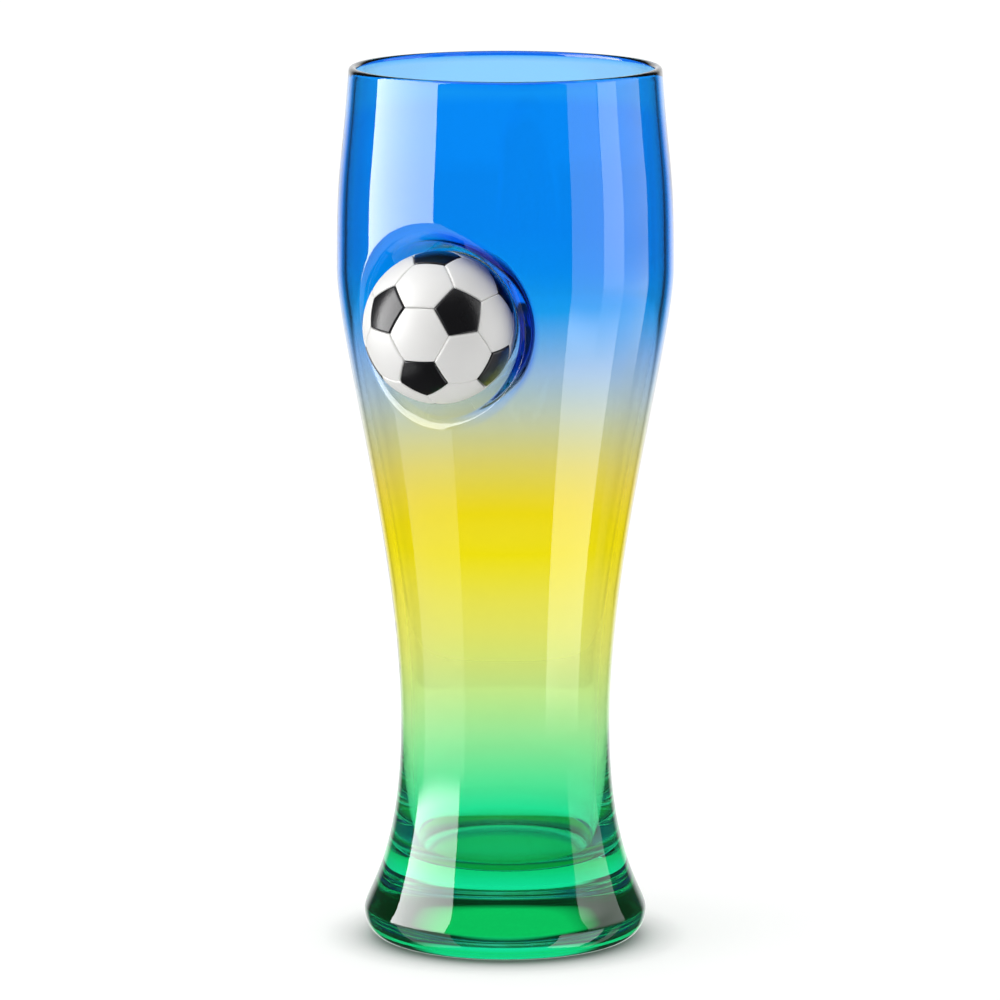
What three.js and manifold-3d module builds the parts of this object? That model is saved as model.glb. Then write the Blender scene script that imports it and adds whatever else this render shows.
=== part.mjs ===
// A tall footed beer glass with a small football bonded into a round pocket in its wall.
// Millimetres, +Z up. The origin is the middle of the foot's flat base, and the ball faces -Y.
import * as THREE from "three";
import { mergeVertices } from "three/addons/utils/BufferGeometryUtils.js";
import { ConvexGeometry } from "three/addons/geometries/ConvexGeometry.js";
import Module from "manifold-3d";

// Outside of the glass
const GLASS_HEIGHT = 211;
const RIM_RADIUS = 37.4;
const RIM_LEAN = 4; // degrees, how far the wall leans in at the lip
const RIM_TO_BELLY = 48; // drop from the lip to the widest ring
const BELLY_RADIUS = 40.3;
const WAIST_HEIGHT = 52;
const WAIST_RADIUS = 25.2;
const FOOT_RADIUS = 34.1;
const FOOT_EDGE_HEIGHT = 6.5; // height of the foot's widest ring
const FOOT_EDGE_ROUND = 5;

// Wall and floor of the glass
const RIM_WALL = 2;
const BELLY_WALL = 2.3;
const WAIST_WALL = 2.8;
const FLOOR_THICKNESS = 18.7;
const FLOOR_CORNER = 5.5;

// Ease of the outline: the reach of each handle as a share of the stretch that it bends
const FOOT_EASE = 0.09;
const WAIST_EASE_BELOW = 0.73;
const WAIST_EASE_ABOVE = 0.38;
const BELLY_EASE_BELOW = 0.16;
const BELLY_EASE_ABOVE = 0.55;
const RIM_EASE = 0.52;

// Football
const BALL_DIAMETER = 36;
const PANEL_THICKNESS = 2.4; // at the middle of a white panel
const SEAM_GAP = 0.3; // between neighbouring panels
const SEAT_GAP = 0.3; // between a panel and the core
const BALL_TURN = 44; // degrees about Z that the front black panel is turned from the pocket's side
const BALL_LIFT = 19; // degrees that the front black panel looks up
const BALL_SPIN = -6; // degrees that the front black panel's top corner leans to the right

// Pocket for the ball, pressed into the wall
const RIM_TO_POCKET = 59; // drop from the lip to the middle of the pocket
const BALL_INSET = 4.4; // depth of the ball's middle under the outside of the wall
const POCKET_FLARE = 25; // degrees that the mouth opens out from the pocket's own axis
const POCKET_LIP_ROUND = 3.2;
const POCKET_WALL = 2.4;
const BULGE_RAMP = 6; // over which the inside of the pocket's wall runs out into the glass's wall
const BOND_THICKNESS = 0.4; // clear adhesive between the ball and the pocket
const BOND_GAP = 0.3; // on each side of the adhesive
const BOND_REACH = 60; // degrees from the bottom of the pocket to the adhesive's edge

// Facets
const AROUND_STEPS = 60;
const LONG_CURVE_STEPS = 8;
const SHORT_CURVE_STEPS = 4;
const POCKET_AROUND_STEPS = 40;
const SEAT_STEPS = 7;
const BALL_SURFACE_DETAIL = 5;
const MERGE_DISTANCE = 1e-4;
const HALVINGS = 30; // of a search interval
const SETTLING_ROUNDS = 6; // of a search that closes in on its own

// Worked out from the sizes above
const lipRound = RIM_WALL / 2;
const lipHeight = GLASS_HEIGHT - lipRound;
const bellyHeight = GLASS_HEIGHT - RIM_TO_BELLY;
const ballRadius = BALL_DIAMETER / 2;
const bondInside = ballRadius + BOND_GAP;
const bondOutside = bondInside + BOND_THICKNESS;
const pocketRadius = bondOutside + BOND_GAP;

const wasm = await Module();
wasm.setup();
const radians = THREE.MathUtils.degToRad;
const at = (radius, height) => new THREE.Vector2(radius, height);

// Turns a closed three.js geometry into a solid that can be joined and cut.
function toSolid(geometry) {
  const bare = geometry.clone();
  bare.deleteAttribute("normal");
  bare.deleteAttribute("uv");
  const merged = mergeVertices(bare, MERGE_DISTANCE);
  const mesh = new wasm.Mesh({
    numProp: 3,
    vertProperties: merged.attributes.position.array,
    triVerts: Uint32Array.from(merged.index.array),
  });
  return new wasm.Manifold(mesh);
}

// Turns a solid back into a three.js geometry.
function toGeometry(solid) {
  const mesh = solid.getMesh();
  const geometry = new THREE.BufferGeometry();
  geometry.setAttribute("position", new THREE.BufferAttribute(mesh.vertProperties, 3));
  geometry.setIndex(new THREE.BufferAttribute(mesh.triVerts, 1));
  geometry.computeVertexNormals();
  return geometry;
}

// Points along joined curves. Each entry is a curve and its number of steps.
function pointsAlong(entries) {
  const points = [];
  for (const [curve, steps] of entries) {
    for (const point of curve.getPoints(steps)) {
      const last = points.at(-1);
      if (!last || last.distanceTo(point) > MERGE_DISTANCE) points.push(point);
    }
  }
  return points;
}

// An outline of radius and height, turned about +Z.
function turnAboutZ(points, steps) {
  return new THREE.LatheGeometry(points, steps).rotateX(Math.PI / 2);
}

// The two curves of the wall above the waist. Depth runs from 0 outside the wall to 1 inside it.
function wallCurves(depth) {
  const waistRadius = WAIST_RADIUS - depth * WAIST_WALL;
  const bellyRadius = BELLY_RADIUS - depth * BELLY_WALL;
  const rimRadius = RIM_RADIUS - depth * RIM_WALL;
  const bodyRise = bellyHeight - WAIST_HEIGHT;
  const rimRise = lipHeight - bellyHeight;
  const rimReach = RIM_EASE * rimRise;
  const body = new THREE.CubicBezierCurve(
    at(waistRadius, WAIST_HEIGHT),
    at(waistRadius, WAIST_HEIGHT + WAIST_EASE_ABOVE * bodyRise),
    at(bellyRadius, bellyHeight - BELLY_EASE_BELOW * bodyRise),
    at(bellyRadius, bellyHeight),
  );
  const shoulder = new THREE.CubicBezierCurve(
    at(bellyRadius, bellyHeight),
    at(bellyRadius, bellyHeight + BELLY_EASE_ABOVE * rimRise),
    at(rimRadius + rimReach * Math.tan(radians(RIM_LEAN)), lipHeight - rimReach),
    at(rimRadius, lipHeight),
  );
  return [body, shoulder];
}

// The curve of the same outline run the other way.
function reversed(curve) {
  return new THREE.CubicBezierCurve(curve.v3, curve.v2, curve.v1, curve.v0);
}

// Glass before the pocket is pressed in: solid foot, thin wall, round lip and open top.
function plainGlass() {
  const [outsideBody, outsideShoulder] = wallCurves(0);
  const [insideBody, insideShoulder] = wallCurves(1);
  const footMiddle = FOOT_RADIUS - FOOT_EDGE_ROUND;
  const footEdge = new THREE.EllipseCurve(
    footMiddle, FOOT_EDGE_HEIGHT, FOOT_EDGE_ROUND, FOOT_EDGE_HEIGHT, -Math.PI / 2, 0,
  );
  const footRise = WAIST_HEIGHT - FOOT_EDGE_HEIGHT;
  const footFlare = new THREE.CubicBezierCurve(
    at(FOOT_RADIUS, FOOT_EDGE_HEIGHT),
    at(FOOT_RADIUS, FOOT_EDGE_HEIGHT + FOOT_EASE * footRise),
    at(WAIST_RADIUS, WAIST_HEIGHT - WAIST_EASE_BELOW * footRise),
    at(WAIST_RADIUS, WAIST_HEIGHT),
  );
  const lip = new THREE.EllipseCurve(RIM_RADIUS - lipRound, lipHeight, lipRound, lipRound, 0, Math.PI);
  const wellRadius = WAIST_RADIUS - WAIST_WALL;
  const corner = Math.min(FLOOR_CORNER, wellRadius, WAIST_HEIGHT - FLOOR_THICKNESS);
  const floorCorner = new THREE.EllipseCurve(
    wellRadius - corner, FLOOR_THICKNESS + corner, corner, corner, 0, -Math.PI / 2, true,
  );
  const outline = [
    at(0, 0),
    ...pointsAlong([
      [footEdge, SHORT_CURVE_STEPS],
      [footFlare, LONG_CURVE_STEPS],
      [outsideBody, LONG_CURVE_STEPS],
      [outsideShoulder, SHORT_CURVE_STEPS],
      [lip, SHORT_CURVE_STEPS],
      [reversed(insideShoulder), SHORT_CURVE_STEPS],
      [reversed(insideBody), LONG_CURVE_STEPS],
      [floorCorner, SHORT_CURVE_STEPS],
    ]),
    at(0, FLOOR_THICKNESS),
  ];
  return toSolid(turnAboutZ(outline, AROUND_STEPS));
}

// A solid that reaches out to the middle of the wall, for trimming what is joined inside it.
function middleOfWall() {
  const [body, shoulder] = wallCurves(0.5);
  const outline = [
    at(0, WAIST_HEIGHT),
    ...pointsAlong([
      [body, LONG_CURVE_STEPS],
      [shoulder, SHORT_CURVE_STEPS],
    ]),
    at(0, lipHeight),
  ];
  return toSolid(turnAboutZ(outline, AROUND_STEPS));
}

// The point of the wall's outside at a height, and the direction square to the wall there.
function wallAt(height) {
  const curves = wallCurves(0);
  const curve = height < bellyHeight ? curves[0] : curves[1];
  let low = 0;
  let high = 1;
  for (let i = 0; i < HALVINGS; i += 1) {
    const middle = (low + high) / 2;
    if (curve.getPoint(middle).y < height) low = middle;
    else high = middle;
  }
  const along = curve.getTangent(low);
  return { radius: curve.getPoint(low).x, outwards: at(along.y, -along.x) };
}

// Place of the ball: +Y of this frame is the pocket's axis, pointing out of the glass.
function ballFrame() {
  const height = GLASS_HEIGHT - RIM_TO_POCKET;
  const { radius, outwards } = wallAt(height);
  const axis = new THREE.Vector3(0, -outwards.x, outwards.y);
  const middle = new THREE.Vector3(0, -radius, height).addScaledVector(axis, -BALL_INSET);
  const turn = new THREE.Quaternion().setFromUnitVectors(new THREE.Vector3(0, 1, 0), axis);
  return new THREE.Matrix4().compose(middle, turn, new THREE.Vector3(1, 1, 1));
}

// How far out along the pocket's axis the wall lies, at a place beside that axis.
function wallReach(matrix, x, z) {
  const point = new THREE.Vector3();
  let low = -BALL_DIAMETER;
  let high = BALL_INSET;
  for (let i = 0; i < HALVINGS; i += 1) {
    const middle = (low + high) / 2;
    point.set(x, middle, z).applyMatrix4(matrix);
    if (Math.hypot(point.x, point.y) < wallAt(point.z).radius) low = middle;
    else high = middle;
  }
  return low;
}

// An outline turned about the pocket's axis. Some of its rings slide down the pocket's cone to follow
// the wall, which falls away to all sides of the axis.
function turnAboutPocket(matrix, points, firstSunk, lastSunk) {
  const narrowing = Math.tan(radians(POCKET_FLARE));
  const geometry = new THREE.LatheGeometry(points, POCKET_AROUND_STEPS);
  const { position } = geometry.attributes;
  for (let i = 0; i < position.count; i += 1) {
    const ring = i % points.length;
    if (ring < firstSunk || ring > lastSunk) continue;
    const x = position.getX(i);
    const z = position.getZ(i);
    const radius = Math.hypot(x, z);
    let sink = 0;
    let share = 1;
    for (let j = 0; j < SETTLING_ROUNDS; j += 1) {
      sink = BALL_INSET - wallReach(matrix, x * share, z * share);
      share = 1 - (sink * narrowing) / radius;
    }
    position.setXYZ(i, x * share, position.getY(i) - sink, z * share);
  }
  return geometry.applyMatrix4(matrix);
}

// A round seat of a given radius whose sides run straight on into a cone, both about +Y.
// Heights are measured along the axis from the middle of the ball.
function seatAndCone(seatRadius, coneTop) {
  const flare = radians(POCKET_FLARE);
  const seat = new THREE.EllipseCurve(0, 0, seatRadius, seatRadius, -Math.PI / 2, -flare);
  const run = coneTop + seatRadius * Math.sin(flare);
  const mouth = at(seatRadius * Math.cos(flare) + run * Math.tan(flare), coneTop);
  return [...seat.getPoints(SEAT_STEPS), mouth];
}

// What is pressed into the wall: the seat, its cone and a round lip that runs out onto the wall.
function pocketSpace(matrix) {
  const flare = radians(POCKET_FLARE);
  const lipMiddle = BALL_INSET - POCKET_LIP_ROUND;
  const lipRadius =
    (POCKET_LIP_ROUND + pocketRadius + lipMiddle * Math.sin(flare)) / Math.cos(flare);
  const coneTop = lipMiddle + POCKET_LIP_ROUND * Math.sin(flare);
  const lip = new THREE.EllipseCurve(
    lipRadius, lipMiddle, POCKET_LIP_ROUND, POCKET_LIP_ROUND, Math.PI - flare, Math.PI / 2, true,
  );
  const sides = [...seatAndCone(pocketRadius, coneTop), ...lip.getPoints(SHORT_CURVE_STEPS).slice(1)];
  const clear = BALL_INSET + ballRadius;
  const outline = [...sides, at(lipRadius, clear), at(0, clear)];
  return toSolid(turnAboutPocket(matrix, outline, SEAT_STEPS + 1, sides.length - 1));
}

// The bulge that the pocket pushes into the glass. Its edge ramps into the wall and is trimmed there.
function pocketBulge(matrix) {
  const sides = seatAndCone(pocketRadius + POCKET_WALL, BALL_INSET - POCKET_WALL);
  const rampEnd = sides.at(-1).x + BULGE_RAMP;
  sides.push(at(rampEnd, BALL_INSET));
  const clear = BALL_INSET + ballRadius;
  const outline = [...sides, at(rampEnd, clear), at(0, clear)];
  const bulge = turnAboutPocket(matrix, outline, SEAT_STEPS + 1, sides.length - 1);
  return toSolid(bulge).intersect(middleOfWall());
}

// Clear adhesive: a thin cap that follows the bottom of the pocket behind the ball.
function adhesiveCap() {
  const edge = radians(BOND_REACH - 90);
  const outside = new THREE.EllipseCurve(0, 0, bondOutside, bondOutside, -Math.PI / 2, edge);
  const inside = new THREE.EllipseCurve(0, 0, bondInside, bondInside, edge, -Math.PI / 2, true);
  const outline = [...outside.getPoints(SHORT_CURVE_STEPS), ...inside.getPoints(SHORT_CURVE_STEPS)];
  return new THREE.LatheGeometry(outline, POCKET_AROUND_STEPS);
}

// The 12 directions of the black panels: front, back and two rings of five, front panel to -Y.
function blackDirections() {
  const ringDepth = 1 / Math.sqrt(5);
  const ringRadius = 2 / Math.sqrt(5);
  const directions = [new THREE.Vector3(0, -1, 0), new THREE.Vector3(0, 1, 0)];
  for (let i = 0; i < 5; i += 1) {
    for (const side of [-1, 1]) {
      const angle = radians(72 * i + (side > 0 ? 36 : 0));
      const ring = new THREE.Vector3(Math.sin(angle), 0, Math.cos(angle)).multiplyScalar(ringRadius);
      directions.push(ring.setY(side * ringDepth));
    }
  }
  return directions;
}

// Neighbouring black directions are 63.4 degrees apart.
const areNeighbours = (a, b) => a.dot(b) > 0.3 && a.dot(b) < 0.6;

// The corner of the panels that lies a third of the way from one black direction to the next.
const cornerBetween = (a, b) => a.clone().multiplyScalar(2).add(b).divideScalar(3);

// Each panel as its sides, the middle of its flat face and one of its corners.
function panelPlan(directions) {
  const black = directions.map((a) => {
    const corners = directions.filter((b) => areNeighbours(a, b)).map((b) => cornerBetween(a, b));
    return { sides: 5, middle: a.clone().multiplyScalar(a.dot(corners[0])), corner: corners[0] };
  });
  const white = [];
  directions.forEach((a, i) => {
    directions.slice(i + 1).forEach((b, j) => {
      directions.slice(i + j + 2).forEach((c) => {
        if (!areNeighbours(a, b) || !areNeighbours(b, c) || !areNeighbours(a, c)) return;
        const middle = a.clone().add(b).add(c).divideScalar(3);
        white.push({ sides: 6, middle, corner: cornerBetween(a, b) });
      });
    });
  });
  return { black, white };
}

// A panel: straight sides towards the middle of the ball, a flat back and a round outer face.
function panel({ sides, middle, corner }, coreScale, ballSurface) {
  const back = coreScale * middle.length() + SEAT_GAP;
  const across = corner.clone().sub(middle);
  const spread = across.length() / middle.length();
  const sideSlope = Math.atan(spread * Math.cos(Math.PI / sides));
  const seam = SEAM_GAP / 2 / Math.cos(sideSlope) / Math.cos(Math.PI / sides);
  const depth = ballRadius - back;
  const wedge = new THREE.CylinderGeometry(
    spread * ballRadius - seam, spread * back - seam, depth, sides,
  );
  wedge.translate(0, back + depth / 2, 0);
  const axis = middle.clone().normalize();
  const side = across.normalize();
  wedge.applyMatrix4(new THREE.Matrix4().makeBasis(axis.clone().cross(side), axis, side));
  return toGeometry(toSolid(wedge).intersect(ballSurface));
}

// Colours and finishes
const finish = (color, roughness, more = {}) =>
  new THREE.MeshStandardMaterial({ color, roughness, metalness: 0, ...more });
const tintedGlass = finish(0xffffff, 0.04, { vertexColors: true, transparent: true, opacity: 0.5 });
const clearAdhesive = finish(0xf2f5f7, 0.15, { transparent: true, opacity: 0.4 });
const coreRubber = finish(0x9a9a98, 0.7);
const whitePanel = finish(0xf4f4f2, 0.28);
const blackPanel = finish(0x141414, 0.22);
const FOOT_GREEN = new THREE.Color(0x14d68a);
const BODY_YELLOW = new THREE.Color(0xefdf14);
const RIM_BLUE = new THREE.Color(0x0584f7);

// Sprayed tint: green foot, yellow halfway up the body and blue from the belly to the lip.
function addTint(geometry) {
  const yellowHeight = (WAIST_HEIGHT + bellyHeight) / 2;
  const { position } = geometry.attributes;
  const colours = [];
  for (let i = 0; i < position.count; i += 1) {
    const height = position.getZ(i);
    const toYellow = THREE.MathUtils.smoothstep(height, FLOOR_THICKNESS, yellowHeight);
    const toBlue = THREE.MathUtils.smoothstep(height, yellowHeight, bellyHeight);
    const tint = FOOT_GREEN.clone().lerp(BODY_YELLOW, toYellow).lerp(RIM_BLUE, toBlue);
    colours.push(tint.r, tint.g, tint.b);
  }
  geometry.setAttribute("color", new THREE.Float32BufferAttribute(colours, 3));
}

function addPart(group, name, geometry, material) {
  const mesh = new THREE.Mesh(geometry, material);
  mesh.name = name;
  group.add(mesh);
  return mesh;
}

// Assembly
const glass = new THREE.Group();
const pocketMatrix = ballFrame();

const bodySolid = plainGlass().add(pocketBulge(pocketMatrix)).subtract(pocketSpace(pocketMatrix));
const bodyGeometry = toGeometry(bodySolid);
addTint(bodyGeometry);
addPart(glass, "glass_body", bodyGeometry, tintedGlass);

addPart(glass, "ball_adhesive", adhesiveCap(), clearAdhesive).applyMatrix4(pocketMatrix);

const ball = new THREE.Group();
ball.position.setFromMatrixPosition(pocketMatrix);
ball.rotation.set(-radians(BALL_LIFT), radians(BALL_SPIN), radians(BALL_TURN), "ZXY");
glass.add(ball);

const directions = blackDirections();
const plan = panelPlan(directions);
const coreScale = (ballRadius - PANEL_THICKNESS - SEAT_GAP) / plan.white[0].middle.length();
const coreCorners = directions.flatMap((a) =>
  directions.filter((b) => areNeighbours(a, b)).map((b) => cornerBetween(a, b).multiplyScalar(coreScale)),
);
addPart(ball, "ball_core", new ConvexGeometry(coreCorners), coreRubber);

const ballSurface = toSolid(new THREE.IcosahedronGeometry(ballRadius, BALL_SURFACE_DETAIL));
const numbered = (name, index) => `${name}_${String(index + 1).padStart(2, "0")}`;
plan.black.forEach((one, i) => {
  addPart(ball, numbered("black_panel", i), panel(one, coreScale, ballSurface), blackPanel);
});
plan.white.forEach((one, i) => {
  addPart(ball, numbered("white_panel", i), panel(one, coreScale, ballSurface), whitePanel);
});

export default glass;
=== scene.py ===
"""Footed beer glass with a small football set into a pocket in its wall: the visual model."""
import math

import bmesh
import bpy
import numpy as np
from bpy.props import FloatProperty, FloatVectorProperty, IntProperty, PointerProperty
from mathutils import Matrix, Vector
from mathutils.geometry import interpolate_bezier


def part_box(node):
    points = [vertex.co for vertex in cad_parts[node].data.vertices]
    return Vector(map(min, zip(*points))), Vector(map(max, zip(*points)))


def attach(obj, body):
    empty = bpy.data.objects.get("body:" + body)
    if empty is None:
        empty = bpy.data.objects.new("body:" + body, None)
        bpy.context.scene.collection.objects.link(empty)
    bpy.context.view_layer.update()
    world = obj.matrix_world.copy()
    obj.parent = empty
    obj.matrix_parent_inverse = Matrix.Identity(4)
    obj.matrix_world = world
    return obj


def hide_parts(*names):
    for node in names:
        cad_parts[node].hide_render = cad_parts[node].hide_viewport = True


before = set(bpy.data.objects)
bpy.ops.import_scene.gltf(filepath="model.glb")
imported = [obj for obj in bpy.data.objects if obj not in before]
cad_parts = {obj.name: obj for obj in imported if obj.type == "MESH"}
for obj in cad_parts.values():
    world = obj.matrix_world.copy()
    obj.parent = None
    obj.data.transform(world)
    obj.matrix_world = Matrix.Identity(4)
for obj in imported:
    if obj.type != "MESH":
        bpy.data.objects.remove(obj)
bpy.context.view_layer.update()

bl_info = {
    "name": "Footed Glass with Football",
    "version": (1, 0, 0),
    "blender": (4, 5, 0),
    "location": "View3D > Sidebar > Footed Glass",
    "description": "Builds a tinted beer glass with a football in its wall, and a stage for it",
    "category": "Object",
}

GLASS_HIGH = Vector(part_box("glass_body")[1])
CORE_LOW, CORE_HIGH = (Vector(corner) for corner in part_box("ball_core"))
BALL_MIDDLE = (CORE_LOW + CORE_HIGH) / 2
MM = 0.001
TINY = 1e-6  # counts as nothing, in metres or as a share
SAME_PLACE = 1e-7  # in metres, between points that are merged
SETTLING_ROUNDS = 7  # of a search that closes in on its own
HALVINGS = 40  # of a search between two bounds
WALL_BOUNDS = (-50 * MM, 20 * MM)  # along the pocket's axis, between which the wall lies
SKIN_STEPS = 400  # along one face of the wall, where the pocket looks it up
SLOPE_STEP = 0.5 * MM  # over which a slope is measured
PAINTED_LIGHT_BAND_START = 0.938  # height of the painted light band under the lip, a paler tint on the far side only, as a share of the glass's height
LIP_CROWDING = 2  # times as many rows on the pocket's lip as elsewhere
POCKET_SECTOR = math.radians(120)  # of the glass, where the steps around are closer
EDGE_STEPS = 14  # round the foot's edge, and round the lip
CORNER_STEPS = 16  # round the corner of the well's floor
BOND_ROWS = 24  # from the middle of the adhesive to its edge
BOND_STEPS = 64  # round the adhesive
CORNER_REACH = 2.47802  # from a truncated icosahedron's middle to a corner, in edge lengths
PANEL_BACK = 0.97  # share of the ball's radius under which a panel's corners are those of its back
PANEL_CROWDING = 1.7  # power by which a panel's rows crowd towards its edge
BLACK_PANELS = 12
WHITE_PANELS = 20
GLASS_INDEX = 1.5  # of refraction
ADHESIVE_INDEX = 1.45
FAR_SIDE_PAINTED_LIGHT = (-10 * MM, 10 * MM)  # over which the painted light under the lip, a paler tint, fades in towards the far side
POOL_SHADE_DEPTH = (22.5 * MM, 25 * MM)  # from the ball's middle, over which the painted shade in the pocket's lip ends
POOL_SHADE_SIDE = (8 * MM, 16 * MM)  # to the right of the ball's middle, over which that painted shade begins
FLOOR_GAP = 0.4 * MM  # between the base and the floor
FLOOR_STEPS = 96  # round the floor
UNDER_FOOT = (24 * MM, 30 * MM)  # from the axis, over which the painted glow under the foot ends
BACKDROP = 1.11  # brightness of the backdrop and the table, seen through the glass
BOUNCES = 64  # of light, which the thick foot needs


def length(name, description, millimetres):
    """A size in metres, with its default given in millimetres."""
    return FloatProperty(
        name=name, description=description, default=millimetres * MM, unit="LENGTH", precision=5,
    )


def share(name, description, default):
    """A plain factor."""
    return FloatProperty(name=name, description=description, default=default, subtype="FACTOR", min=0, max=4)


def angle(name, description, degrees):
    """An angle in radians, with its default given in degrees."""
    return FloatProperty(name=name, description=description, default=math.radians(degrees), subtype="ANGLE")


def colour(name, description, default):
    """A linear colour."""
    return FloatVectorProperty(
        name=name, description=description, default=default, subtype="COLOR", size=3, min=0, max=1,
    )


def count(name, description, default, least):
    """A number of rows or steps."""
    return IntProperty(name=name, description=description, default=default, min=least)


class GlassSizes(bpy.types.PropertyGroup):
    """Outline of the glass, from its foot to its lip."""

    height: length("Height", "From the base to the lip", GLASS_HIGH.z / MM)
    rim_radius: length("Rim radius", "Outside of the lip", 37.4)
    rim_lean: angle("Rim lean", "How far the wall leans in at the lip", 4)
    rim_to_belly: length("Rim to belly", "Drop from the lip to the widest ring", 48)
    belly_radius: length("Belly radius", "Outside at the widest ring", GLASS_HIGH.x / MM)
    waist_height: length("Waist height", "Height of the narrowest ring", 52)
    waist_radius: length("Waist radius", "Outside at the narrowest ring", 25.2)
    foot_radius: length("Foot radius", "Outside of the foot", 34.1)
    foot_edge_height: length("Foot edge height", "Height of the foot's widest ring", 6.5)
    foot_edge_round: length("Foot edge round", "How far the foot's edge rounds in below", 5)
    rim_wall: length("Rim wall", "Wall at the lip", 2)
    belly_wall: length("Belly wall", "Wall at the widest ring", 2.3)
    waist_wall: length("Waist wall", "Wall at the narrowest ring", 2.8)
    floor_thickness: length("Floor thickness", "Solid glass under the drink", 18.7)
    floor_corner: length("Floor corner", "Round between the floor and the wall inside", 5.5)
    foot_ease: share("Foot ease", "Reach of the outline's handle over the foot", 0.09)
    waist_ease_below: share("Waist ease below", "Reach of the handle under the waist", 0.73)
    waist_ease_above: share("Waist ease above", "Reach of the handle over the waist", 0.38)
    belly_ease_below: share("Belly ease below", "Reach of the handle under the belly", 0.16)
    belly_ease_above: share("Belly ease above", "Reach of the handle over the belly", 0.55)
    rim_ease: share("Rim ease", "Reach of the handle under the lip", 0.52)
    rows_per_curve: count("Rows", "Rows of faces along the body", 92, 12)
    steps_around: count("Steps", "Steps around, away from the pocket", 76, 16)
    pocket_steps: count("Pocket steps", "Steps around, across the pocket", 84, 16)


class PocketSizes(bpy.types.PropertyGroup):
    """The round pocket pressed into the wall, and the adhesive in it."""

    seat_radius: length("Seat radius", "Round seat behind the ball", 19)
    flare: angle("Flare", "How far the sides open out from the pocket's axis", 25)
    bulge_flare: angle("Bulge flare", "How much further the bulge's sides open out at the top", 2)
    top_softness: share("Top softness", "How much wider the lip's round is at the top", 0.65)
    thinning: share("Thinning", "How much thinner the pressed glass is over the ball", 0.6)
    low_thinning: share("Low thinning", "How much thinner the pressed glass is under the ball", 0.2)
    side_tightness: share("Side tightness", "How much tighter the lip's round is at the sides", 0.3)
    lip_round: length("Lip round", "Round from the pocket's sides onto the wall", 3.2)
    bulge_wall: length("Bulge wall", "Glass behind the seat", 2.4)
    bulge_round: length("Bulge round", "Round from the bulge onto the inside of the wall", 2)
    reach: length("Reach", "Distance from the axis past which the wall is undisturbed", 33)
    bond_inside: length("Bond inside", "Inner radius of the adhesive", 18.3)
    bond_outside: length("Bond outside", "Outer radius of the adhesive", 18.7)
    bond_reach: angle("Bond reach", "From the bottom of the pocket to the adhesive's edge", 60)


class BallSizes(bpy.types.PropertyGroup):
    """Football of 12 black and 20 white panels."""

    radius: length("Radius", "Outside of the ball", 18)
    seam: length("Seam", "Gap between neighbouring panels", 0.12)
    white_round: length("White round", "Round along the edges of a white panel", 0.55)
    black_round: length("Black round", "Round along the edges of a black panel", 0.4)
    rows: count("Rows", "Rows of faces from a panel's edge to its middle", 16, 3)


class TintColours(bpy.types.PropertyGroup):
    """Sprayed tint of the glass, by height. Each colour is what one wall lets through."""

    sole: colour("Sole", "Lowest edge of the foot", (0.09, 0.885, 0.64))
    foot: colour("Foot", "Solid glass of the foot", (0.035, 0.72, 0.32))
    ankle: colour("Ankle", "Just over the floor of the glass", (0.045, 0.89, 0.57))
    waist: colour("Waist", "At the narrowest ring", (0.665, 0.878, 0.532))
    lime: colour("Lime", "Over the waist", (0.855, 0.88, 0.399))
    lemon: colour("Lemon", "Under the yellow band", (0.926, 0.878, 0.247))
    yellow: colour("Yellow", "Middle of the flare", (0.939, 0.86, 0.019))
    straw: colour("Straw", "Over the yellow band", (0.907, 0.812, 0.257))
    haze: colour("Haze", "Where yellow gives way to blue", (0.665, 0.746, 0.779))
    mist: colour("Mist", "Pale blue under the ball's middle", (0.456, 0.655, 0.902))
    sky: colour("Sky", "Behind the ball", (0.0285, 0.541, 0.941))
    belly: colour("Belly", "From the widest ring up", (0.01, 0.494, 0.95))
    # Rim and Lip show only on the far side, where the paler rim colour is painted light.
    rim: colour("Rim", "Just under the lip", (0.275, 0.598, 0.941))
    lip: colour("Lip", "On the round of the lip", (0.03, 0.36, 0.90))
    # Painted shade: this deepens the tint inside the right of the pocket's lip, also standing for spray that
    # gathers there.
    pool: colour("Pool", "Share let through where the spray pools on the pocket's right", (0.3, 0.45, 1.0))


class BallColours(bpy.types.PropertyGroup):
    """Finishes of the football."""

    white: colour("White", "White panels", (0.905, 0.90, 0.885))
    black: colour("Black", "Black panels", (0.006, 0.006, 0.007))
    core: colour("Core", "Seen down the seams", (0.30, 0.30, 0.29))


class StageSettings(bpy.types.PropertyGroup):
    """Floor, lights and camera."""

    floor_radius: length("Floor radius", "Reach of the round floor", 350)
    camera_turn: angle("Camera turn", "How far round the camera stands from the ball's side", 26.4)
    camera_pitch: angle("Camera pitch", "How far the camera looks down", 9.44)
    camera_distance: length("Camera distance", "Across the floor from the glass's axis", 1633.8)
    camera_height: length("Camera height", "Over the floor", 378.0)
    camera_side: length("Camera side step", "Step to the left that centres the picture", 1.27)
    surround: share("Surround", "Brightness of the white surround in the picture", 1.05)
    room: share("Room", "Brightness of the room's dark side in the glass", 0.05)
    ceiling: share("Ceiling", "Brightness of the ceiling in the glass", 0.9)
    room_light: share("Room light", "Soft light on the ball from all sides", 0.3)
    overhead: share("Overhead", "Soft light on the floor and the ball from straight above", 1.1)
    lens: FloatProperty(name="Lens", description="Focal length in millimetres", default=248.1)


def settings():
    """All the properties of the scene."""
    return bpy.context.scene


# Outline of the glass

def bend(start, start_handle, end_handle, end, steps):
    """Points of a cubic curve in the plane of radius and height."""
    flat = [Vector((point[0], 0, point[1])) for point in (start, start_handle, end_handle, end)]
    return interpolate_bezier(*flat, steps + 1)


def arc(middle, across, up, start, end, steps):
    """Points of a round or oval arc in the plane of radius and height. Angles are in degrees."""
    turns = [math.radians(start + (end - start) * i / steps) for i in range(steps + 1)]
    return [Vector((middle[0] + across * math.cos(t), 0, middle[1] + up * math.sin(t))) for t in turns]


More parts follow.
